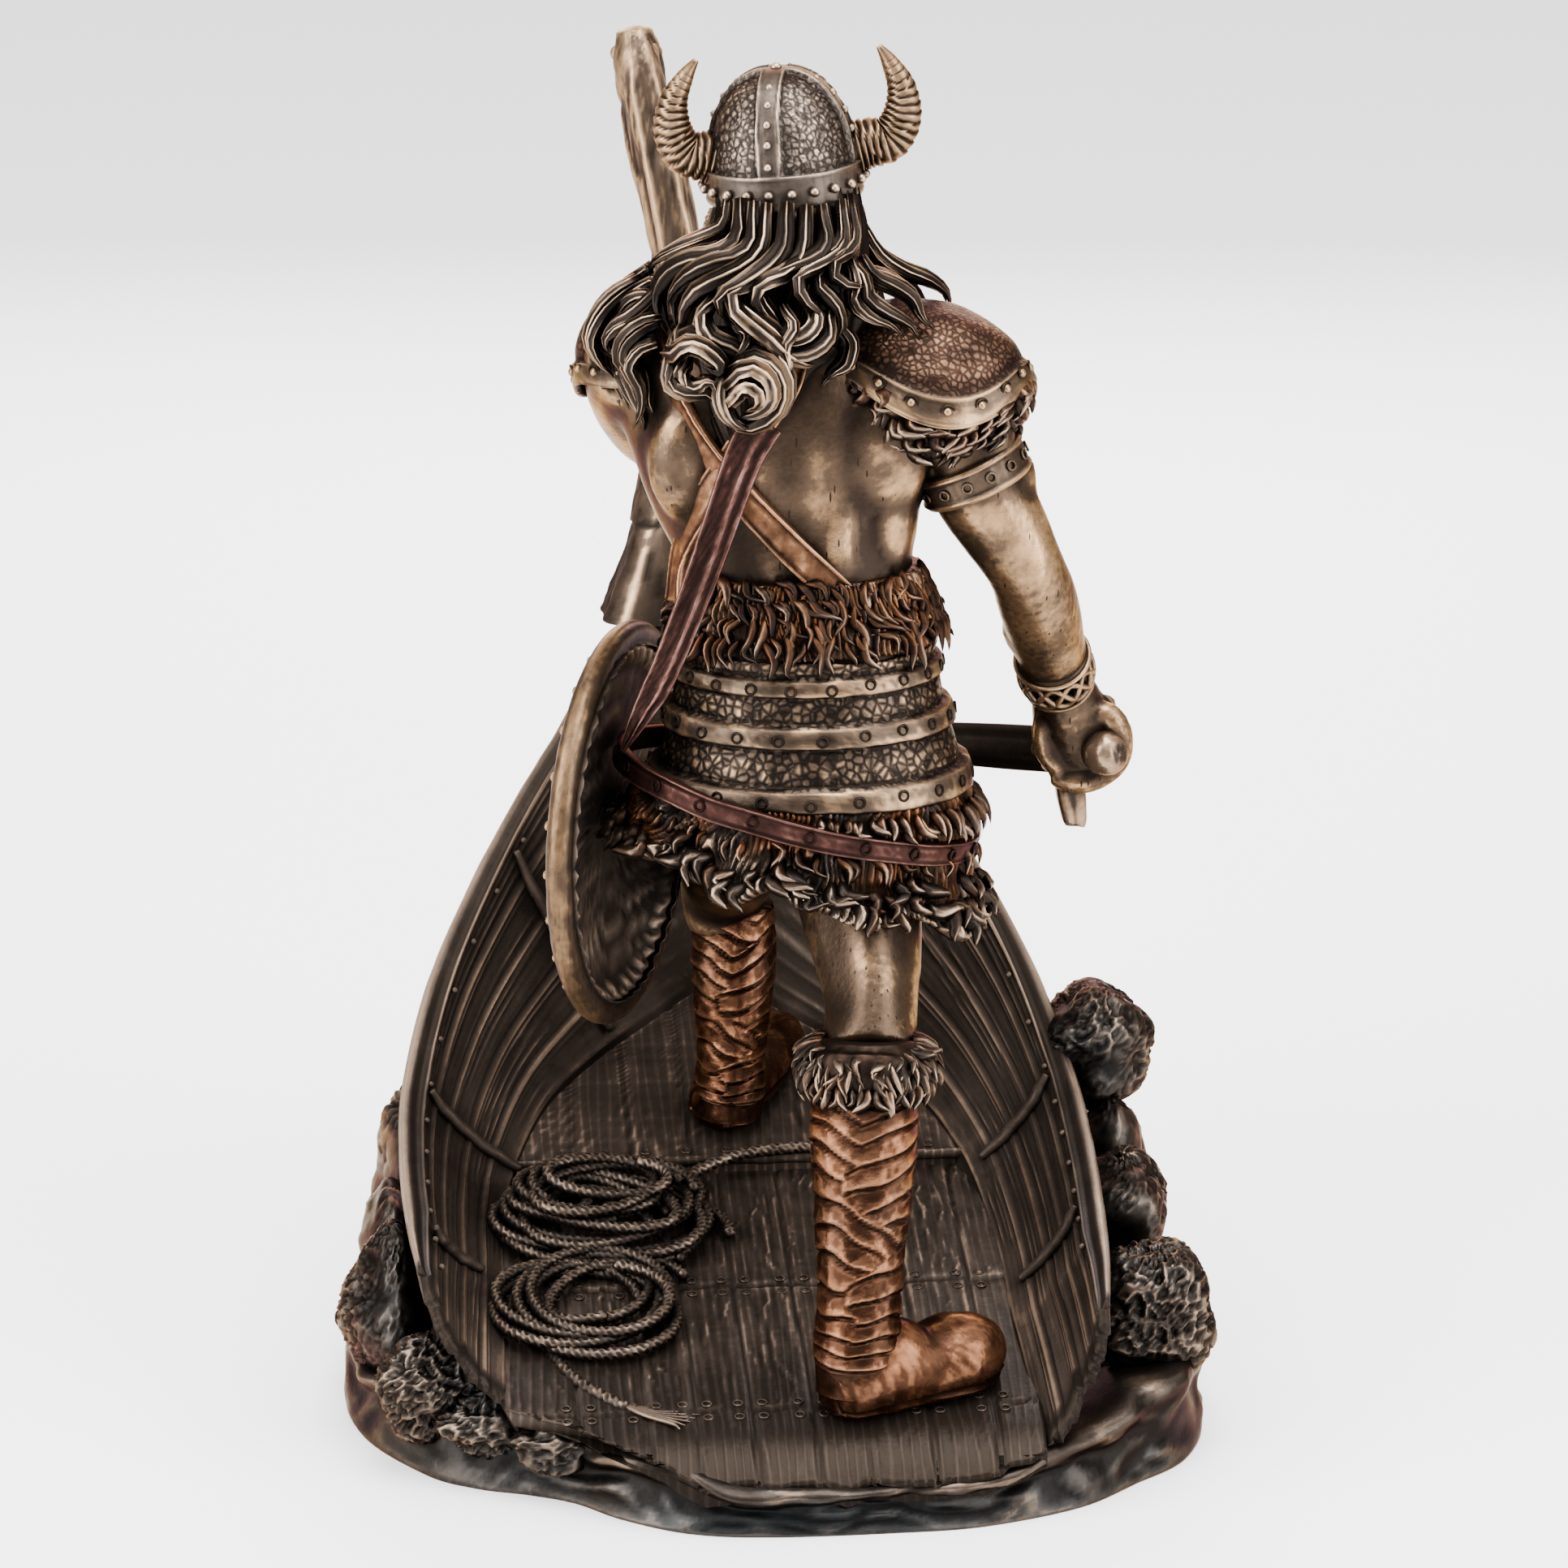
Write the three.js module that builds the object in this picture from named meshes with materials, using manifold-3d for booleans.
// A viking warrior striding up the deck of a cut-away ship bow, on a wave and rock plinth.
// Millimetres, +Z up, +Y the way the warrior faces, +X starboard.
import * as THREE from "three";
import { mergeVertices } from "three/addons/utils/BufferGeometryUtils.js";
import Module from "manifold-3d";

const wasm = await Module();
wasm.setup();

// Sizes that set the whole piece.
const GAP = 0.3;
const SHIP_AXIS_X = -7.5;
const DECK_NEAR_Y = -78;
const DECK_NEAR_Z = 15.2;
const DECK_SLOPE = 0.23;
const STEP_Y = 22;
const FOREDECK_Z = 41;
const FOREDECK_SLOPE = 0.336;
const WALL_THICKNESS = 4.5;
const COLLAR_Z = 142.7;
const SHIELD_RADIUS = 40.5;
const SHIELD_CENTRE = [-33.2, -7, 124];
const SHIELD_TURN = 22;
const BLADE_LENGTH = 50;
const HELMET_CENTRE = [0, 0, 251.5];
const FULL_TURN = Math.PI * 2;
const DEGREE = Math.PI / 180;
// Puts the origin under the middle of the whole piece, on the plane it stands on.
const SHIFT = [5.01, -9.47, 0];

// Turns a three.js geometry into a solid that faces out.
function solid(geometry) {
  const plain = geometry.index ? geometry.toNonIndexed() : geometry;
  const bare = new THREE.BufferGeometry();
  bare.setAttribute("position", plain.getAttribute("position"));
  const merged = mergeVertices(bare, 1e-4);
  const vertProperties = merged.attributes.position.array;
  const triVerts = new Uint32Array(merged.index.array);
  const made = new wasm.Manifold(new wasm.Mesh({ numProp: 3, vertProperties, triVerts }));
  if (made.volume() > 0) return made;
  triVerts.reverse();
  return new wasm.Manifold(new wasm.Mesh({ numProp: 3, vertProperties, triVerts }));
}

// Joins a list of solids into one.
function join(pieces) {
  return pieces.reduce((whole, piece) => whole.add(piece));
}

// The one body of a solid that holds the most, with any pocket sealed inside it filled.
function mainBody(shape) {
  return shape.decompose().reduce((best, body) => (body.volume() > best.volume() ? body : best));
}

// A closed stack of rings: a cylinder whose every row of vertices is moved onto one ring.
function stack(rings, bottom, top) {
  const rows = rings.length - 1;
  const count = rings[0].length;
  const geometry = new THREE.CylinderGeometry(1, 1, 1, count, rows);
  const position = geometry.getAttribute("position");
  for (let i = 0; i < position.count; i += 1) {
    const x = position.getX(i);
    const z = position.getZ(i);
    const row = Math.round((position.getY(i) + 0.5) * rows);
    const turn = Math.round((Math.atan2(x, z) / FULL_TURN) * count);
    const onAxis = Math.hypot(x, z) < 0.5;
    const cap = row === 0 ? bottom : top;
    const point = onAxis ? cap : rings[row][(turn + count) % count];
    position.setXYZ(i, point.x, point.y, point.z);
  }
  return solid(geometry);
}

// Rows of numbers read as a smooth curve, three at a time from the column given.
function curveOf(rows, column) {
  const points = rows.map((row) => new THREE.Vector3(row[column], row[column + 1], row[column + 2] ?? 0));
  return new THREE.CatmullRomCurve3(points, false, "catmullrom", 0.5);
}

// A closed limb along rows of x, y, z, half width and half depth. The swell varies the section round it.
function limb(rows, options = {}) {
  const { around = 12, along = rows.length * 2, hint = [1, 0, 0], swell = () => 1 } = options;
  const centres = curveOf(rows, 0);
  const sizes = curveOf(rows, 3);
  const sideHint = new THREE.Vector3(...hint);
  const rings = [];
  for (let i = 0; i <= along; i += 1) {
    const t = i / along;
    const centre = centres.getPoint(t);
    const size = sizes.getPoint(t);
    const tangent = centres.getTangent(t);
    const front = new THREE.Vector3().crossVectors(tangent, sideHint).normalize();
    const side = new THREE.Vector3().crossVectors(front, tangent).normalize();
    const ring = [];
    for (let j = 0; j < around; j += 1) {
      const angle = (j / around) * FULL_TURN;
      const factor = swell(angle, t);
      const point = centre.clone();
      point.addScaledVector(side, Math.cos(angle) * size.x * factor);
      point.addScaledVector(front, Math.sin(angle) * size.y * factor);
      ring.push(point);
    }
    rings.push(ring);
  }
  return stack(rings, centres.getPoint(0), centres.getPoint(1));
}

// A three.js shape scaled, turned and moved into place.
function placed(geometry, scale, turn, centre) {
  geometry.scale(...scale);
  geometry.rotateX(turn[0] * DEGREE);
  geometry.rotateY(turn[1] * DEGREE);
  geometry.rotateZ(turn[2] * DEGREE);
  geometry.translate(...centre);
  return solid(geometry);
}

// A ball squashed to three half sizes.
function ball(centre, size, detail = [12, 8], turn = [0, 0, 0]) {
  return placed(new THREE.SphereGeometry(1, detail[0], detail[1]), size, turn, centre);
}

// A turned shape about +Z from rows of radius and height that start and end on the axis.
function turned(profile, segments, scale, turn, centre) {
  const points = profile.map((row) => new THREE.Vector2(row[0], row[1]));
  const geometry = new THREE.LatheGeometry(points, segments);
  geometry.rotateX(90 * DEGREE);
  return placed(geometry, scale, turn, centre);
}

// A box given by its size, turn in degrees and centre.
function block(size, turn, centre) {
  return placed(new THREE.BoxGeometry(...size), [1, 1, 1], turn, centre);
}

// The ship: a row is half width, y and height of the gunwale's outer edge, near end first.
const GUNWALE = [
  [65, -75, 40.5],
  [69, -45, 42.5],
  [71, -20, 45.5],
  [71.5, 2, 51],
  [70, 22, 60],
  [63.5, 40, 77],
  [52, 54.5, 97],
  [37, 65.5, 119],
  [21, 74, 139.5],
  [0, 79, 141],
];
// The same stations where the wall meets the deck.
const DECK_EDGE = [
  [54, -80],
  [54.5, -50],
  [55, -20],
  [54, 4],
  [50.5, 22],
  [42.5, 42],
  [31, 57],
  [18, 70],
  [8, 79],
  [0, 83],
];
const LOWER_SEAMS = [-46, -23, 0, 23];
const UPPER_SEAMS = [-30, -12, 6];
const WALL_STEPS = 9;
const STRAKES = 3;
const STRAKE_LIFT = 0.9;
const WALL_BULGE = 3.5;

// Height of the deck's top, with the step up to the foredeck.
function deckHeight(y) {
  if (y < STEP_Y) return DECK_NEAR_Z + DECK_SLOPE * (y - DECK_NEAR_Y);
  return FOREDECK_Z + FOREDECK_SLOPE * (y - STEP_Y);
}

const GUNWALE_CURVE = curveOf(GUNWALE, 0);
const DECK_EDGE_CURVE = curveOf(
  DECK_EDGE.map((row) => [row[0], row[1], deckHeight(row[1])]),
  0,
);

// A point of the wall: u runs from starboard near end (-1) past the stem (0) to port (1), s from deck to rim.
function wallPoint(u, s, lift) {
  const along = 1 - Math.abs(u);
  const side = u < 0 ? 1 : -1;
  const rim = GUNWALE_CURVE.getPoint(along);
  const foot = DECK_EDGE_CURVE.getPoint(along);
  const tangent = GUNWALE_CURVE.getTangent(along);
  const outward = new THREE.Vector3(tangent.y, -tangent.x, 0).normalize();
  if (along > 0.999) outward.set(0, 1, 0);
  const point = foot.lerp(rim, s);
  const taper = 1 - 0.5 * along;
  point.addScaledVector(outward, WALL_BULGE * taper * 4 * s * (1 - s) - lift);
  return new THREE.Vector3(SHIP_AXIS_X + side * point.x, point.y, point.z);
}

// One ring of the hull: round the stem from starboard to port, then closed across the near end.
function hullRing(place, nearY) {
  const ring = [];
  for (let i = 0; i <= WALL_STEPS * 2; i += 1) ring.push(place(i / WALL_STEPS - 1));
  const port = ring[ring.length - 1].clone();
  const starboard = ring[0].clone();
  port.y = nearY;
  starboard.y = nearY;
  ring.push(port);
  ring.push(port.clone().lerp(starboard, 0.5));
  ring.push(starboard);
  return ring;
}

// The outside of the hull, as one block down into the plinth.
function hullOuter() {
  const nearY = -79;
  const sunk = (u) => {
    const point = wallPoint(u, 0, -8);
    point.z = 3;
    return point;
  };
  const rings = [hullRing(sunk, nearY)];
  [0.1, 0.4, 0.7, 1].forEach((s) => rings.push(hullRing((u) => wallPoint(u, s, 0), nearY)));
  const bottom = new THREE.Vector3(SHIP_AXIS_X, -10, 3);
  const top = new THREE.Vector3(SHIP_AXIS_X, -10, 34);
  return stack(rings, bottom, top);
}

// The space inside the hull, with one lapped edge at each strake, open above and at the near end.
function hullInner() {
  const nearY = -110;
  const sunk = (u) => {
    const point = wallPoint(u, 0, WALL_THICKNESS);
    point.z -= 4;
    return point;
  };
  const rings = [hullRing(sunk, nearY)];
  for (let k = 0; k < STRAKES; k += 1) {
    const low = k / STRAKES;
    const high = (k + 1) / STRAKES - 0.015;
    rings.push(hullRing((u) => wallPoint(u, low, WALL_THICKNESS + STRAKE_LIFT), nearY));
    rings.push(hullRing((u) => wallPoint(u, high, WALL_THICKNESS), nearY));
  }
  rings.push(hullRing((u) => wallPoint(u, 1.02, WALL_THICKNESS), nearY));
  const above = (u) => {
    const point = wallPoint(u, 1.02, WALL_THICKNESS);
    point.z = 190;
    return point;
  };
  rings.push(hullRing(above, nearY));
  const bottom = new THREE.Vector3(SHIP_AXIS_X, -10, 26);
  const top = new THREE.Vector3(SHIP_AXIS_X, -10, 190);
  return stack(rings, bottom, top);
}

// A deck slab with plank seams, sloping up from one y to another.
function deckSlab(fromY, toY, fromZ, slope, seams) {
  const depth = 0.7;
  const half = 0.45;
  const outline = new THREE.Shape();
  outline.moveTo(-75, -14);
  outline.lineTo(-75, 0);
  seams.forEach((x) => {
    outline.lineTo(x - half, 0);
    outline.lineTo(x, -depth);
    outline.lineTo(x + half, 0);
  });
  outline.lineTo(60, 0);
  outline.lineTo(60, -14);
  outline.closePath();
  const run = toY - fromY;
  const geometry = new THREE.ExtrudeGeometry(outline, { depth: run, bevelEnabled: false, steps: 1 });
  geometry.rotateX(90 * DEGREE);
  geometry.translate(0, toY, 0);
  const position = geometry.getAttribute("position");
  for (let i = 0; i < position.count; i += 1) {
    const rise = fromZ + slope * (position.getY(i) - fromY);
    position.setZ(i, position.getZ(i) + rise);
  }
  return solid(geometry);
}

// The rounded batten along the edge of the step.
function stepEdge() {
  const z = FOREDECK_Z - 0.9;
  const rows = [
    [-68, STEP_Y - 0.4, z, 1.3, 1.6],
    [0, STEP_Y - 0.4, z, 1.3, 1.6],
    [56, STEP_Y - 0.4, z, 1.3, 1.6],
  ];
  return limb(rows, { around: 6, along: 2, hint: [0, 1, 0] });
}

// A rib inside the wall from the rim down to the deck.
function rib(uTop, uFoot, thickness) {
  const rows = [0.93, 0.62, 0.3, 0.02].map((s) => {
    const point = wallPoint(uFoot + (uTop - uFoot) * s, s, WALL_THICKNESS + 0.9);
    return [point.x, point.y, point.z, thickness, thickness];
  });
  return limb(rows, { around: 6, along: 5, hint: [0, 1, 0.3] });
}

// The thick stem that carries the figurehead.
function stemPost() {
  const rows = [
    [SHIP_AXIS_X, 84, 40, 9, 9],
    [SHIP_AXIS_X, 84, 80, 10, 9],
    [SHIP_AXIS_X - 0.6, 82.5, 115, 13, 9],
    [SHIP_AXIS_X - 1.5, 81.5, COLLAR_Z, 17, 9],
  ];
  const post = limb(rows, { around: 14, along: 4 });
  return post.subtract(block([80, 80, 20], [0, 0, 0], [0, 80, COLLAR_Z + 10]));
}

// Where the hull is cut off at its near end, seen from above.
const NEAR_CUT = [
  [-120, -50],
  [-78, -55],
  [-62, -57],
  [-47, -64],
  [-36, -73],
  [-22, -79],
  [15, -79.5],
  [34, -78],
  [52, -71],
  [70, -64],
  [120, -60],
  [120, 120],
  [-120, 120],
];

// The space that the hull keeps to, behind its broken near end.
function nearTrim() {
  const outline = new THREE.Shape(NEAR_CUT.map((row) => new THREE.Vector2(row[0], row[1])));
  return solid(new THREE.ExtrudeGeometry(outline, { depth: 220, bevelEnabled: false, steps: 1 }));
}

// The foot of the plinth, near side first, as x and y.
const PLINTH = [
  [-76, -45],
  [-66, -53],
  [-56, -57],
  [-47, -62],
  [-38, -71],
  [-25, -79],
  [-8, -82],
  [14, -82],
  [32, -80.5],
  [52, -73],
  [65, -62],
  [77, -50],
  [83, -30],
  [82, 0],
  [78, 28],
  [70, 52],
  [54, 74],
  [30, 88],
  [2, 94],
  [-26, 92],
  [-52, 80],
  [-74, 58],
  [-86, 32],
  [-91, 2],
  [-88, -24],
];

// The plinth as rings of the foot outline drawn in and lifted, with small waves in both.
function plinth() {
  const levels = [
    [0, 0, 0],
    [6, 0.8, 0.8],
    [13, 2, 1.4],
    [15, 12, 0.6],
  ];
  const flat = new THREE.CatmullRomCurve3(
    PLINTH.map((row) => new THREE.Vector3(row[0], row[1], 0)),
    true,
    "catmullrom",
    0.5,
  );
  const count = 30;
  const rings = levels.map(([height, inset, wave]) => {
    const ring = [];
    for (let j = 0; j < count; j += 1) {
      const t = j / count;
      const point = flat.getPoint(t);
      const tangent = flat.getTangent(t);
      const ripple = Math.sin(t * 61) + 0.6 * Math.sin(t * 97 + 1);
      const inward = new THREE.Vector3(-tangent.y, tangent.x, 0).normalize();
      point.addScaledVector(inward, inset + wave * 0.6 * ripple);
      const swellUp = Math.max(0, point.y + 40) * 0.05 * (height / 15);
      point.z = height + wave * 0.7 * ripple + (height > 2 ? swellUp : 0);
      ring.push(point);
    }
    return ring;
  });
  return stack(rings, new THREE.Vector3(0, 0, 0), new THREE.Vector3(0, 0, 15));
}

// A rock: a faceted ball with a lumpy skin.
function rock(centre, size, seed) {
  const geometry = new THREE.IcosahedronGeometry(1, 1);
  const position = geometry.getAttribute("position");
  for (let i = 0; i < position.count; i += 1) {
    const x = position.getX(i);
    const y = position.getY(i);
    const z = position.getZ(i);
    const across = 0.1 * Math.sin(5 * x + seed) + 0.09 * Math.sin(6 * y + 2 * seed);
    const reach = 1 + across + 0.08 * Math.sin(7 * z + 3 * seed);
    position.setXYZ(i, x * reach, y * reach, z * reach);
  }
  return placed(geometry, size, [0, 0, 0], centre);
}

const ROCKS = [
  [[-82, -18, 26], [9, 18, 18], 0.4],
  [[-81, 12, 34], [9, 19, 18], 2.2],
  [[-72, 42, 30], [13, 22, 22], 3.1],
  [[70, -34, 18], [9, 15, 18], 5.3],
  [[71, -6, 29], [10, 19, 19], 6.1],
  [[67, 30, 50], [12, 15, 25], 8.2],
  [[56, 54, 28], [15, 18, 22], 9.5],
  [[-4, 80, 22], [44, 11, 20], 11.7],
];

// One loop of the coil: an oval ring of rope lying on the sloping deck.
function ropeLoop(centre, halfX, halfY, turn) {
  const geometry = new THREE.TorusGeometry(1, 0.15, 4, 11);
  return placed(geometry, [halfX, halfY, 20], [13 + turn[0], turn[1], turn[2]], centre);
}

// The heap of rope on the port side of the deck, with its two free ends.
function ropeHeap() {
  const loops = [
    [[-38, -26, 29.4], 17.5, 15, [2, -2, 10]],
    [[-33, 0, 37], 18.5, 12.5, [6, -3, -12]],
    [[-33.5, 1.5, 41.4], 13.5, 9, [8, 4, 20]],
  ];
  const pieces = loops.map((row) => ropeLoop(...row));
  pieces.push(ball([-37, -24.5, 29.5], [14, 12, 5], [8, 4], [13, 0, 0]));
  const tail = [
    [-52, -34, 28],
    [-44, -49, 23.6],
    [-29, -61, 20.6],
  ];
  pieces.push(limb(tail.map((row) => [...row, 1.7, 1.7]), { around: 4, along: 4 }));
  const runner = [
    [-26, 8, 38],
    [-12, 14, 38.6],
    [8, 19.5, 39.4],
  ];
  pieces.push(limb(runner.map((row) => [...row, 1.7, 1.7]), { around: 4, along: 3, hint: [0, 1, 0] }));
  return join(pieces);
}

// The ship, its decks, ribs, rope and plinth in one solid.
function shipBase() {
  const outer = hullOuter().intersect(nearTrim());
  const decks = deckSlab(DECK_NEAR_Y - 6, STEP_Y, deckHeight(DECK_NEAR_Y - 6), DECK_SLOPE, LOWER_SEAMS).add(
    deckSlab(STEP_Y, 96, FOREDECK_Z, FOREDECK_SLOPE, UPPER_SEAMS),
  );
  const body = join([plinth(), ...ROCKS.map((row) => rock(...row)), outer]);
  const open = body.subtract(hullInner());
  const ribs = [
    rib(0.37, 0.3, 1.1),
    rib(0.62, 0.5, 1.1),
    rib(0.83, 0.76, 1.1),
    rib(-0.6, -0.5, 1.1),
    rib(-0.83, -0.76, 1.1),
  ];
  const deck = decks.intersect(outer);
  const filled = join([open, deck, stepEdge().intersect(outer), stemPost(), ...ribs, ropeHeap()]);
  return filled.subtract(block([300, 300, 20], [0, 0, 0], [0, 0, -10]));
}

// The trunk from hips to neck: x, y, z, half width and half depth.
const TRUNK = [
  [3.5, -13, 116, 22, 16],
  [4, -14, 132, 27, 20],
  [4, -13, 148, 26.5, 19.5],
  [3.5, -10.5, 163, 24, 17.5],
  [2.6, -9, 174, 22.6, 16],
  [1, -7.5, 186, 24.5, 16.5],
  [-1.5, -6, 199, 28, 18.5],
  [-2, -5, 211, 31.5, 18.5],
  [-1.4, -4.5, 220, 29, 16],
  [-1, -4, 227, 15, 11],
  [-1, -3, 234, 9.2, 9.6],
  [-0.6, -1, 246, 8.8, 9.6],
];

// The furrow of the spine down the back of the trunk, and the flat between the breasts.
function trunkSwell(angle, t) {
  const back = Math.abs(angle - 1.5 * Math.PI);
  const chest = Math.abs(angle - 0.5 * Math.PI);
  const fade = t < 0.85 ? 1 : 0;
  return 1 - fade * (0.09 * Math.exp(-((back / 0.22) ** 2)) + 0.05 * Math.exp(-((chest / 0.2) ** 2)));
}

// A point just off the back of the trunk at a given x and height.
function backPoint(x, z, lift) {
  let k = 1;
  while (k < TRUNK.length - 1 && TRUNK[k][2] < z) k += 1;
  const low = TRUNK[k - 1];
  const high = TRUNK[k];
  const mix = (z - low[2]) / (high[2] - low[2]);
  const [cx, cy, , rx, ry] = low.map((value, i) => value + (high[i] - value) * mix);
  const across = Math.min(0.97, Math.abs((x - cx) / rx));
  return [x, cy - ry * Math.sqrt(1 - across * across) - lift, z];
}

// A strap across the back through rows of x and height.
function backStrap(rows, halfWidth, lift) {
  const path = rows.map(([x, z]) => [...backPoint(x, z, lift), halfWidth, 1]);
  return limb(path, { around: 4, along: rows.length + 1, hint: [0.6, 0, 0.8] });
}

// Rows of the waist, top down: height, centre x and y, half width and depth, rise to port, depth of the tufts.
const WAIST = [
  [178, 3, -9.5, 20, 15, 0, 0],
  [176.5, 3, -9.5, 24.6, 18.2, 0, 0.02],
  [168, 3.3, -10.4, 27.2, 20.2, 0, 0.03],
  [160.6, 3.5, -11, 27, 20.6, 0, 0.05],
  [160.4, 3.5, -11, 25.2, 19.2, 0, 0],
  [159.6, 3.5, -11.2, 27, 20.8, 0, 0],
  [156, 3.6, -11.6, 27.4, 21.2, 0, 0],
  [155.6, 3.6, -11.7, 26.2, 20, 0, 0],
  [151, 3.7, -12.4, 27.2, 21, 0, 0],
  [150.6, 3.7, -12.5, 28.8, 22.4, 0, 0],
  [146.4, 3.8, -13, 29.4, 23, 0, 0],
  [146, 3.8, -13, 28.2, 22, 0, 0],
  [139.4, 4, -14, 30, 23.6, 0, 0],
  [139, 4, -14.1, 31.8, 25.2, 0, 0],
  [134.4, 4, -14.6, 32.6, 25.8, 0.02, 0],
  [133.8, 3.6, -14.6, 32.2, 25.2, 0.06, 0.02],
  [127, 2.4, -15, 35, 26.6, 0.17, 0.05],
  [125.6, 2, -15, 33.8, 25.6, 0.2, 0],
  [119.5, 0.8, -15.4, 34.6, 26, 0.26, 0.02],
  [118, 0.6, -15.4, 36, 27, 0.27, 0.05],
  [113.5, 0.4, -15.4, 34, 25.6, 0.28, 0.08],
];

// The armour rows, the fur sash above them and the fur skirt below, in one stack of rings.
function waist() {
  const around = 18;
  const rings = WAIST.map(([z, cx, cy, rx, ry, rise, tuft]) => {
    const ring = [];
    for (let j = 0; j < around; j += 1) {
      const angle = (j / around) * FULL_TURN;
      const wave = j % 2 ? tuft : -tuft;
      const x = Math.cos(angle) * rx * (1 + wave);
      const y = Math.sin(angle) * ry * (1 + wave);
      ring.push(new THREE.Vector3(cx + x, cy + y, z - rise * x + wave * 28));
    }
    return ring;
  });
  const top = new THREE.Vector3(3, -9.5, 178);
  const bottom = new THREE.Vector3(0.4, -15.4, 118);
  return stack(rings, top, bottom);
}

// The belt slung round the hips, higher to port.
function hipBelt() {
  const geometry = new THREE.CylinderGeometry(1, 1, 1, 18, 1);
  geometry.rotateX(90 * DEGREE);
  return placed(geometry, [36, 27.2, 3.8], [1, 15, 0], [1.4, -14.8, 131.5]);
}

// Both legs with their wrapped boots and fur cuff.
function legs() {
  const rightThigh = [
    [11, -14, 124, 13, 13],
    [13, -27, 110, 11.5, 12],
    [14, -38, 97, 9.2, 9.8],
    [13, -46, 87, 9, 9.6],
  ];
  const rightBoot = [
    [12.2, -49, 84, 10, 10.5],
    [11.2, -53, 74, 10.6, 11.2],
    [10.4, -57, 58, 9.4, 9.8],
    [9.6, -60.5, 42, 8.2, 8.8],
    [9, -62, 31, 8.4, 9],
    [9, -62.5, 21, 8, 8.4],
  ];
  const cuff = [
    [12.2, -48.5, 91, 10, 10],
    [12.2, -49.5, 89, 13.5, 13.5],
    [11.6, -51.5, 83, 15, 15],
    [11.2, -53, 77.5, 13.2, 13.2],
  ];
  const rightFoot = [
    [3, -66.5, 24, 4, 4],
    [5.5, -65, 24.5, 6.6, 7],
    [14, -61, 25.5, 7.6, 8.5],
    [23, -57, 25, 8, 7],
    [31, -53.6, 24.6, 7.6, 5.8],
    [37, -51, 24.2, 3.6, 3],
  ];
  const leftLeg = [
    [-6, -4, 124, 12.5, 13],
    [-8.5, 16, 110, 11.5, 11.5],
    [-9.5, 33, 98, 9.4, 9.6],
    [-9.4, 35.5, 90, 8.6, 9.2],
    [-9.4, 35, 78, 8.8, 9.8],
    [-9.8, 34, 62, 7.6, 8.2],
    [-10, 34, 50, 7.4, 8],
  ];
  const leftFoot = [
    [-14.5, 29.5, 48, 4, 4],
    [-12.6, 32, 49, 6.2, 6.6],
    [-7, 40, 52, 7.2, 7.6],
    [-1.5, 48, 54, 7.4, 6.2],
    [3.2, 55, 56.4, 6.8, 5.2],
    [5.6, 58.4, 57.6, 3, 2.6],
  ];
  const wrapped = (angle, t) => 1 + 0.02 * Math.sin(t * 30 + angle);
  return [
    limb(rightThigh, { around: 9, along: 3 }),
    limb(rightBoot, { around: 9, along: 5, swell: wrapped }),
    limb(cuff, { around: 10, along: 3, swell: (angle) => 1 + 0.05 * Math.cos(angle * 5) }),
    limb(rightFoot, { around: 7, along: 5, hint: [-0.4, 0.9, 0] }),
    limb(leftLeg, { around: 9, along: 7 }),
    limb(leftFoot, { around: 7, along: 4, hint: [0.8, -0.6, 0] }),
  ];
}

// Both arms, the right with its fist, bands and bracelet, the left reaching to the figurehead.
function arms() {
  const right = [
    [27, -5, 219, 12, 12],
    [33.5, -7, 207, 11, 11.5],
    [37.5, -8, 193, 9.6, 10.2],
    [43, -8, 184, 9.4, 9.8],
    [48, -7, 174.5, 8, 8.4],
    [51, -2.5, 166, 8.4, 8.6],
    [55, 6, 153, 6.6, 6.8],
    [57.6, 12.5, 144, 5.2, 5.4],
  ];
  const left = [
    [-28, -3, 219, 12, 12],
    [-29, 6, 212, 10.4, 11],
    [-26, 19, 202, 9.4, 9.6],
    [-22, 30, 195, 8.2, 8.4],
    [-19, 38, 195.5, 7.8, 8],
    [-15.5, 50, 198.5, 6, 6.2],
    [-13.5, 57, 200.5, 4.8, 4.8],
  ];
  const bracelet = [
    [55.2, 6.6, 152, 8, 8],
    [57.3, 11.6, 145.2, 7.2, 7.2],
  ];
  const armBand = [
    [35.8, -7.8, 197, 11.2, 11.6],
    [38.4, -8, 191.5, 11, 11.4],
  ];
  const fist = [
    [57.6, 12, 144, 5, 5],
    [60, 14, 139, 7.4, 7.8],
    [61, 15.5, 132, 8, 8.4],
    [61.4, 16.5, 125.5, 6.6, 7],
    [61.4, 17, 123.5, 3, 3],
  ];
  const hand = [
    [-13.6, 56, 200.5, 4.6, 4.8],
    [-12.6, 61, 201.5, 6.4, 4.6],
    [-12, 66, 201.5, 6.6, 4],
    [-12, 71, 201, 5, 3],
  ];
  return [
    limb(right, { around: 8, along: 8 }),
    limb(left, { around: 8, along: 6 }),
    limb(bracelet, { around: 8, along: 1 }),
    limb(armBand, { around: 8, along: 1 }),
    limb(fist, { around: 7, along: 4 }),
    limb(hand, { around: 6, along: 3 }),
  ];
}

// A shoulder guard: a domed plate with a thick rim over a fringe of fur.
function shoulderGuard(centre, turn) {
  const profile = [
    [0, 1],
    [0.45, 0.9],
    [0.8, 0.62],
    [0.98, 0.24],
    [1.1, 0.02],
    [1.08, -0.14],
    [0.93, -0.16],
    [0.97, -0.4],
    [0.84, -0.72],
    [0, -0.5],
  ];
  return turned(profile, 11, [17.5, 17, 15], turn, centre);
}

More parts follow.
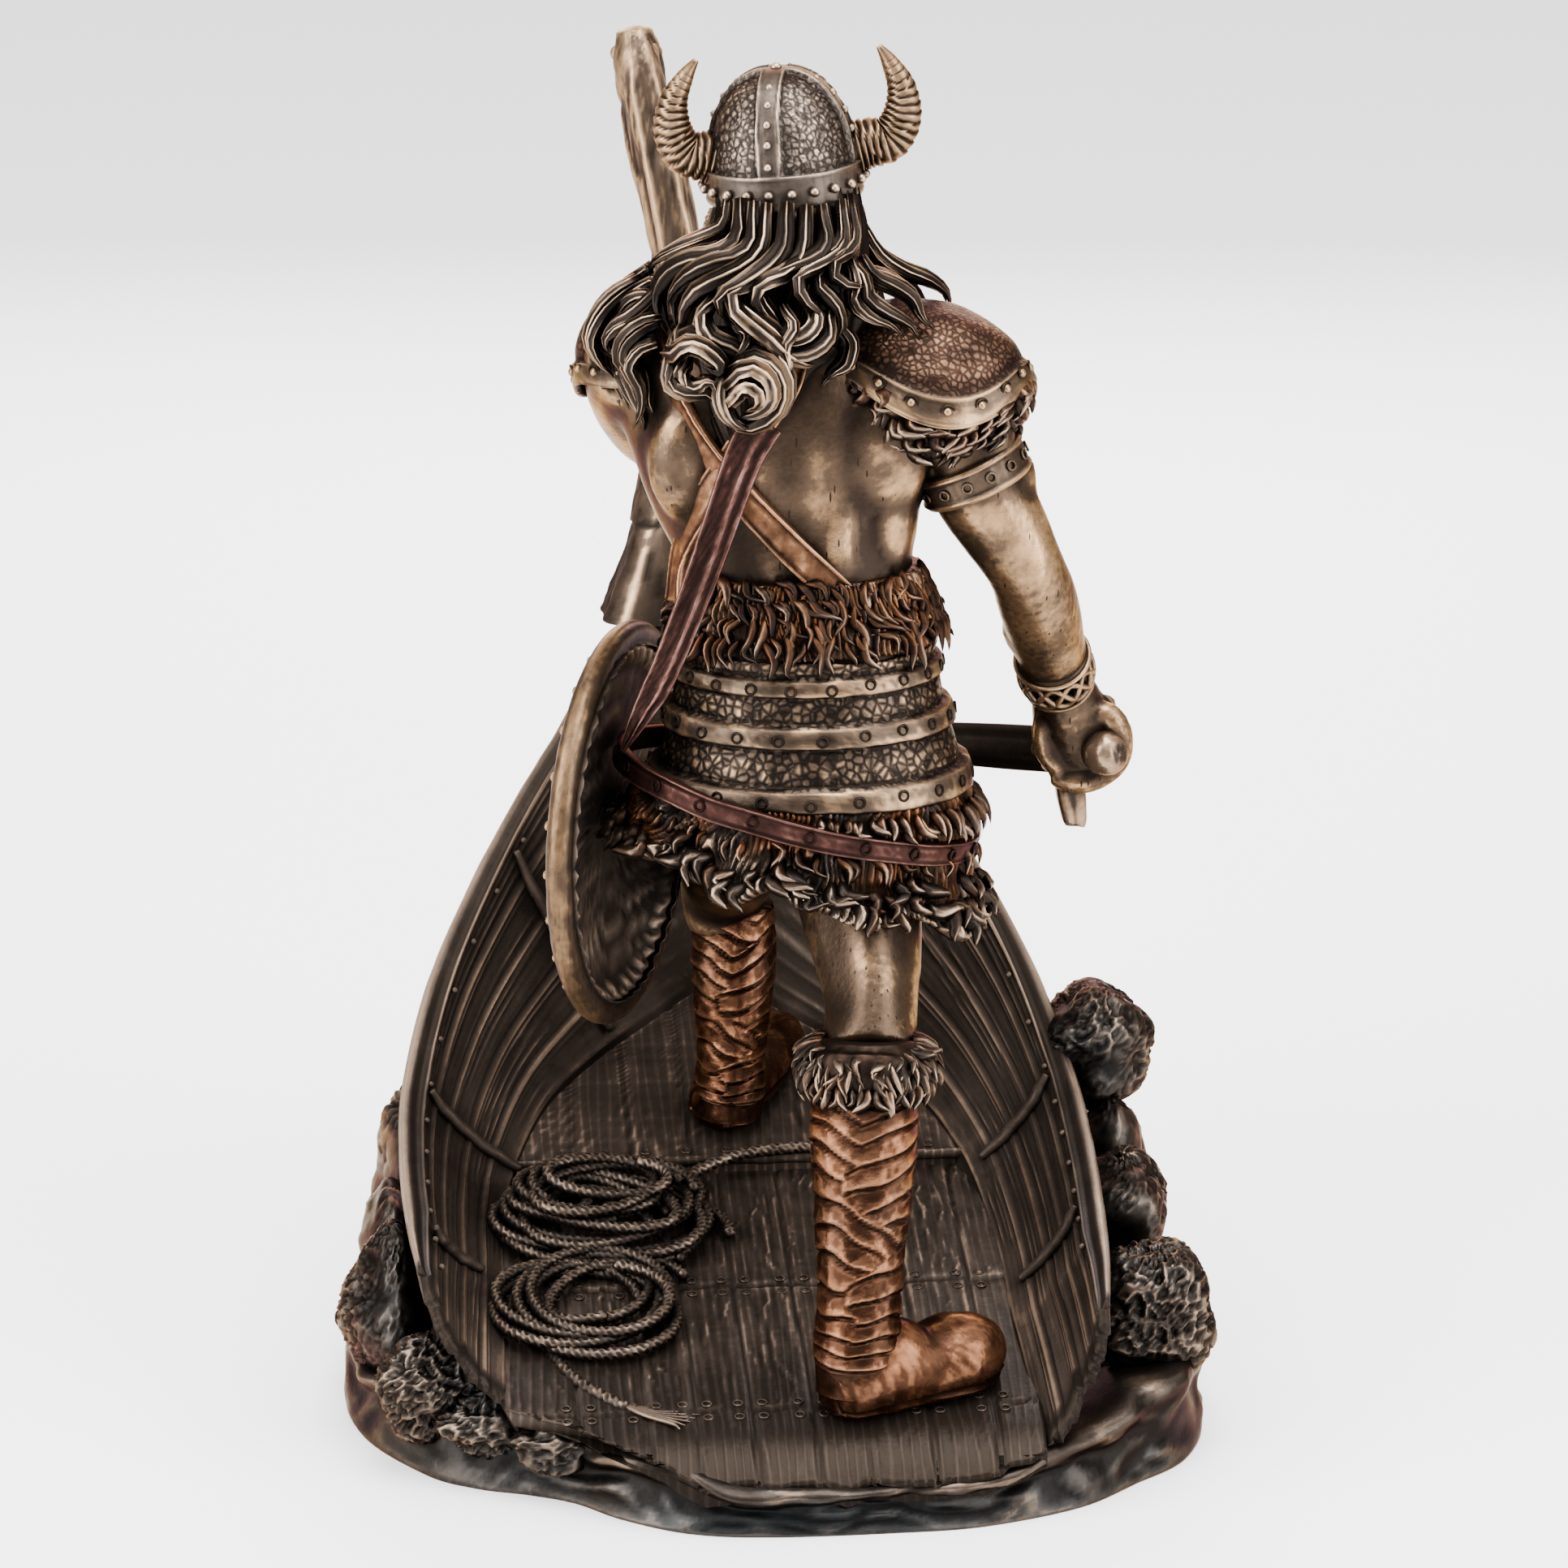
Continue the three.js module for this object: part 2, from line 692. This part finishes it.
// The head with the face, beard and the beard's braid.
function head() {
  const nose = [
    [3.2, 15.4, 250, 1.4, 1.4],
    [3.4, 17.4, 245.4, 2, 2.2],
    [3.4, 17, 243.4, 2.2, 1.4],
  ];
  const beard = [
    [1.6, 9, 243, 10.6, 9],
    [1.6, 12, 237, 10.8, 8.4],
    [1.4, 14, 228, 9.6, 7.4],
    [1, 15.6, 219, 6.6, 5.4],
    [0.6, 16.4, 211, 2.2, 2],
  ];
  const braid = [
    [14.5, 6, 243, 2.6, 2.6],
    [17, 4, 237, 3, 3],
    [17.6, 4, 230, 2.6, 2.6],
    [16.6, 6, 222, 1.2, 1.2],
  ];
  return [
    ball([0.6, 1.4, 247.5], [12.2, 14.4, 16], [8, 6]),
    limb(nose, { around: 5, along: 2 }),
    limb(beard, { around: 8, along: 5, swell: (angle) => 1 + 0.05 * Math.sin(angle * 7) }),
    limb(braid, { around: 5, along: 4 }),
  ];
}

// One ring of the helmet's dome, with four raised ribs that keep their width.
function domeRing(radius, height) {
  const ring = [];
  const spread = Math.asin(Math.min(0.5, 2.9 / radius));
  for (let quarter = 0; quarter < 4; quarter += 1) {
    const middle = quarter * 90 * DEGREE;
    const gap = (90 * DEGREE - 2 * spread) / 2;
    const spots = [
      [middle - spread, 0],
      [middle - spread * 0.93, 1],
      [middle + spread * 0.93, 1],
      [middle + spread, 0],
      [middle + spread + gap, 0],
    ];
    spots.forEach(([angle, raised]) => {
      const reach = radius + raised * 0.9;
      const lift = raised * 0.5;
      ring.push(new THREE.Vector3(Math.cos(angle) * reach, Math.sin(angle) * reach * 1.08, height + lift));
    });
  }
  return ring;
}

// A horn from rows of x, height and radius, all in the plane of the helmet's middle.
function horn(rows) {
  const path = rows.map(([x, z, radius]) => [x, 0, z, radius, radius]);
  return limb(path, { around: 6, along: 7, hint: [0, 1, 0] });
}

// The helmet: dome with crossed ribs, rim band and horns.
function helmet() {
  const levels = [
    [4, 23],
    [9.6, 20],
    [13.4, 14.4],
    [15.2, 7.6],
    [15.6, 3.7],
  ];
  const rings = levels.map(([radius, height]) => domeRing(radius, height));
  rings.push(domeRing(16.2, 3.4));
  rings.push(domeRing(16.2, -3.4));
  const shell = stack(rings, new THREE.Vector3(0, 0, 24), new THREE.Vector3(0, 0, -3.4));
  const right = [
    [12, 259, 4.8],
    [16.5, 259.4, 4.4],
    [20.8, 260.8, 4],
    [23.4, 265.4, 3.5],
    [23.2, 271, 2.7],
    [20.6, 276.2, 1.7],
    [18, 280, 0.5],
  ];
  const left = right.map(([x, z, radius]) => [1.4 - x, z - 2.2, radius]);
  return [shell.rotate([9, 0, 0]).translate(HELMET_CENTRE), horn(right), horn(left)];
}

// One lock of hair: a tapering wave from its root to its tip, lying on the back.
function lock(root, tip, width, wave, phase) {
  const rows = [];
  const steps = 5;
  for (let i = 0; i <= steps; i += 1) {
    const t = i / steps;
    const swing = Math.sin(t * 2.2 * Math.PI + phase) * wave * t;
    const x = root[0] + (tip[0] - root[0]) * t + swing;
    const y = root[1] + (tip[1] - root[1]) * t - 4 * Math.sin(t * Math.PI);
    const z = root[2] + (tip[2] - root[2]) * t;
    const size = width * (0.75 + 0.5 * Math.sin(t * Math.PI)) * (t > 0.9 ? 0.45 : 1);
    rows.push([x, y, z, size, size * 0.8]);
  }
  return limb(rows, { around: 4, along: 5 });
}

// The hair: one mass down the back with locks that lie over it and over both shoulders.
function hair() {
  const mass = [
    [0, -8, 250, 14, 8],
    [0, -10, 242, 16, 10],
    [-2, -11, 231, 23, 11],
    [-6, -13, 220, 25, 12],
    [-9, -18, 209, 19, 9],
    [-8, -23, 201, 10, 5],
  ];
  const locks = [
    [[-14, -4, 246], [-40, -2, 216], 4.8, 3, 0],
    [[-12, -8, 246], [-37, -12, 205], 5.2, 3, 1],
    [[-5, -16, 245], [-19, -27, 197], 5.4, 3.4, 3],
    [[-1, -17, 245], [-9, -29, 196], 5.8, 3.2, 4.2],
    [[3, -17, 245], [-1, -28, 203], 5, 3, 5],
    [[7, -15, 246], [8, -23, 208], 4.8, 3, 0.6],
    [[13, -6, 247], [26, -12, 222], 4.4, 3, 2.8],
    [[-32, -2, 226], [-33, -14, 196], 5, 2.6, 2],
    [[24, -6, 229], [34, 4, 231], 3.6, 1.2, 1],
  ];
  return [limb(mass, { around: 9, along: 5 }), ...locks.map((row) => lock(...row))];
}

// The baldric that hangs from under the hair to the inside of the shield.
function baldric() {
  const rows = [
    [-4.5, -26, 200, 4.4, 1.4],
    [-10, -28.5, 186, 4, 1.4],
    [-17, -31, 170, 3.4, 1.3],
    [-24.5, -30, 154, 2.8, 1.2],
    [-30, -25, 142, 2.2, 1.1],
  ];
  return limb(rows, { around: 4, along: 6, hint: [1, -0.2, 0.5] });
}

// The whole figure in one solid, standing clear of the deck.
function warrior() {
  const straps = [
    backStrap([[-24, 222], [-17, 207], [-9, 194], [1, 184], [10, 172]], 3, 0.2),
    backStrap([[16, 214], [3, 203], [-8, 194], [-17, 184], [-21, 172]], 3, 0.5),
  ];
  const guards = [
    shoulderGuard([30.5, -6, 214.5], [10, 24, 0]),
    shoulderGuard([-25.4, -2, 214.5], [4, -20, 0]),
  ];
  const trunk = limb(TRUNK, { around: 14, along: 11, swell: trunkSwell });
  const whole = join([
    trunk,
    waist(),
    hipBelt(),
    ...legs(),
    ...arms(),
    ...guards,
    ...head(),
    ...helmet(),
    ...hair(),
    ...straps,
    baldric(),
  ]);
  const low = DECK_NEAR_Z + GAP + 0.05;
  const high = FOREDECK_Z + GAP + 0.05;
  const lowerDeck = deckSlab(DECK_NEAR_Y, STEP_Y - 6, low, DECK_SLOPE, []);
  const foredeck = deckSlab(STEP_Y, 120, high, FOREDECK_SLOPE, []);
  return whole.subtract(lowerDeck).subtract(foredeck);
}

// The figurehead: a deep narrow neck that flares down over the stem and curls at the top.
function figurehead() {
  const x = SHIP_AXIS_X;
  const neck = [
    [x - 3, 81, COLLAR_Z - 5, 21.5, 11.5],
    [x - 3, 81, 147, 19.6, 11.5],
    [x - 3, 81, 158, 16.6, 11.5],
    [x - 3, 81.5, 174, 12.6, 12],
    [x - 5, 80, 200, 7.6, 11.5],
    [x - 9, 79.5, 226, 5.2, 11.5],
    [x - 13, 81, 246, 5.2, 11],
    [x - 15.4, 83, 260, 5, 10],
    [x - 16.4, 84.5, 268, 3, 6.5],
  ];
  const head = [
    [x - 15.6, 80, 260, 4.4, 5.4],
    [x - 15.6, 88, 262, 5, 6.8],
    [x - 15.6, 95, 256, 4.6, 5.6],
    [x - 15.6, 98, 250, 3.6, 4],
    [x - 15.6, 99, 247, 2.2, 2.4],
  ];
  const lipReach = 1;
  const lipRows = neck.slice(0, 3).map(([cx, cy, z, rx, ry]) => [cx, cy, z, rx + lipReach, ry + lipReach]);
  const lipSlice = block([48, 25, 4], [0, 0, 0], [x - 3, 81, COLLAR_Z + GAP + 2]);
  const whole = join([
    limb(neck, { around: 10, along: 9, swell: (angle) => 1 + 0.05 * Math.cos(2 * angle) }),
    limb(head, { around: 6, along: 4 }),
    lipSlice.intersect(limb(lipRows, { around: 10, along: 2 })),
  ]);
  return whole.subtract(block([80, 80, 30], [0, 0, 0], [x, 81, COLLAR_Z + GAP - 15]));
}

// The shield: a shallow dished disc with a rolled rim and a boss on its outer side.
function shield() {
  const r = SHIELD_RADIUS;
  const profile = [
    [0, 11.5],
    [4.5, 11],
    [7.6, 8.6],
    [9, 6.6],
    [r * 0.5, 5.4],
    [r * 0.86, 2.4],
    [r * 0.93, 3],
    [r, 1.8],
    [r, -1.2],
    [r * 0.95, -2],
    [r * 0.9, -1],
    [r * 0.5, 2.2],
    [0, 3.4],
  ];
  return turned(profile, 20, [1, 1, 1], [0, -90, -SHIELD_TURN], SHIELD_CENTRE);
}

// The sword: pommel, grip, guard and blade along one line.
function sword() {
  const grip = new THREE.Vector3(66, 8, 131.5);
  const along = new THREE.Vector3(-0.64, 0.75, -0.16).normalize();
  const at = (distance, a, b) => {
    const point = grip.clone().addScaledVector(along, distance);
    return [point.x, point.y, point.z, a, b];
  };
  const side = [0.75, 0.64, 0];
  const pommel = ball(grip.toArray(), [4, 4, 4], [8, 6]);
  const handle = limb([at(0, 2.2, 2.2), at(9, 2.4, 2.4), at(18, 2.2, 2.2)], { around: 6, along: 2, hint: side });
  const blade = limb(
    [at(16, 1.3, 4.6), at(30, 1.3, 4.5), at(50, 1.2, 4), at(62, 1, 3.2), at(18 + BLADE_LENGTH, 0.2, 0.3)],
    { around: 4, along: 6, hint: side },
  );
  const middle = at(20, 0, 0);
  const guard = limb(
    [
      [middle[0] + 2.2, middle[1], middle[2] - 15.5, 1.8, 2.4],
      [middle[0], middle[1], middle[2], 1.7, 2],
      [middle[0] - 2.2, middle[1], middle[2] + 13, 1.8, 2.4],
    ],
    { around: 5, along: 3 },
  );
  return join([pommel, handle, blade, guard]);
}

// A shape grown by the gap on every side, to cut its neighbour clear of it.
function grown(shape) {
  const reach = GAP * 1.5;
  const moves = [
    [reach, 0, 0],
    [-reach, 0, 0],
    [0, reach, 0],
    [0, -reach, 0],
    [0, 0, reach],
    [0, 0, -reach],
  ];
  return join([shape, ...moves.map((move) => shape.translate(move))]);
}

// Turns a solid back into a named three.js mesh in the frame of the part.
function mesh(name, shape, material) {
  const data = shape.getMesh();
  const geometry = new THREE.BufferGeometry();
  geometry.setAttribute("position", new THREE.BufferAttribute(data.vertProperties, 3));
  geometry.setIndex(new THREE.BufferAttribute(data.triVerts, 1));
  const made = new THREE.Mesh(geometry, material);
  made.name = name;
  made.position.set(...SHIFT);
  return made;
}

const bronze = new THREE.MeshStandardMaterial({ color: 0x6b4f36, roughness: 0.42, metalness: 0.9 });
const darkBronze = new THREE.MeshStandardMaterial({ color: 0x3d2d22, roughness: 0.5, metalness: 0.85 });

const swordShape = sword();
const figureheadShape = figurehead();
const shieldShape = shield();
const neighbours = grown(swordShape).add(grown(figureheadShape)).add(grown(shieldShape));
const figureShape = mainBody(warrior().subtract(neighbours));
const shipShape = mainBody(shipBase());

const statue = new THREE.Group();
statue.add(mesh("ship_base", shipShape, darkBronze));
statue.add(mesh("figurehead", figureheadShape, darkBronze));
statue.add(mesh("warrior", figureShape, bronze));
statue.add(mesh("sword", swordShape, darkBronze));
statue.add(mesh("shield", shieldShape, bronze));
export default statue;
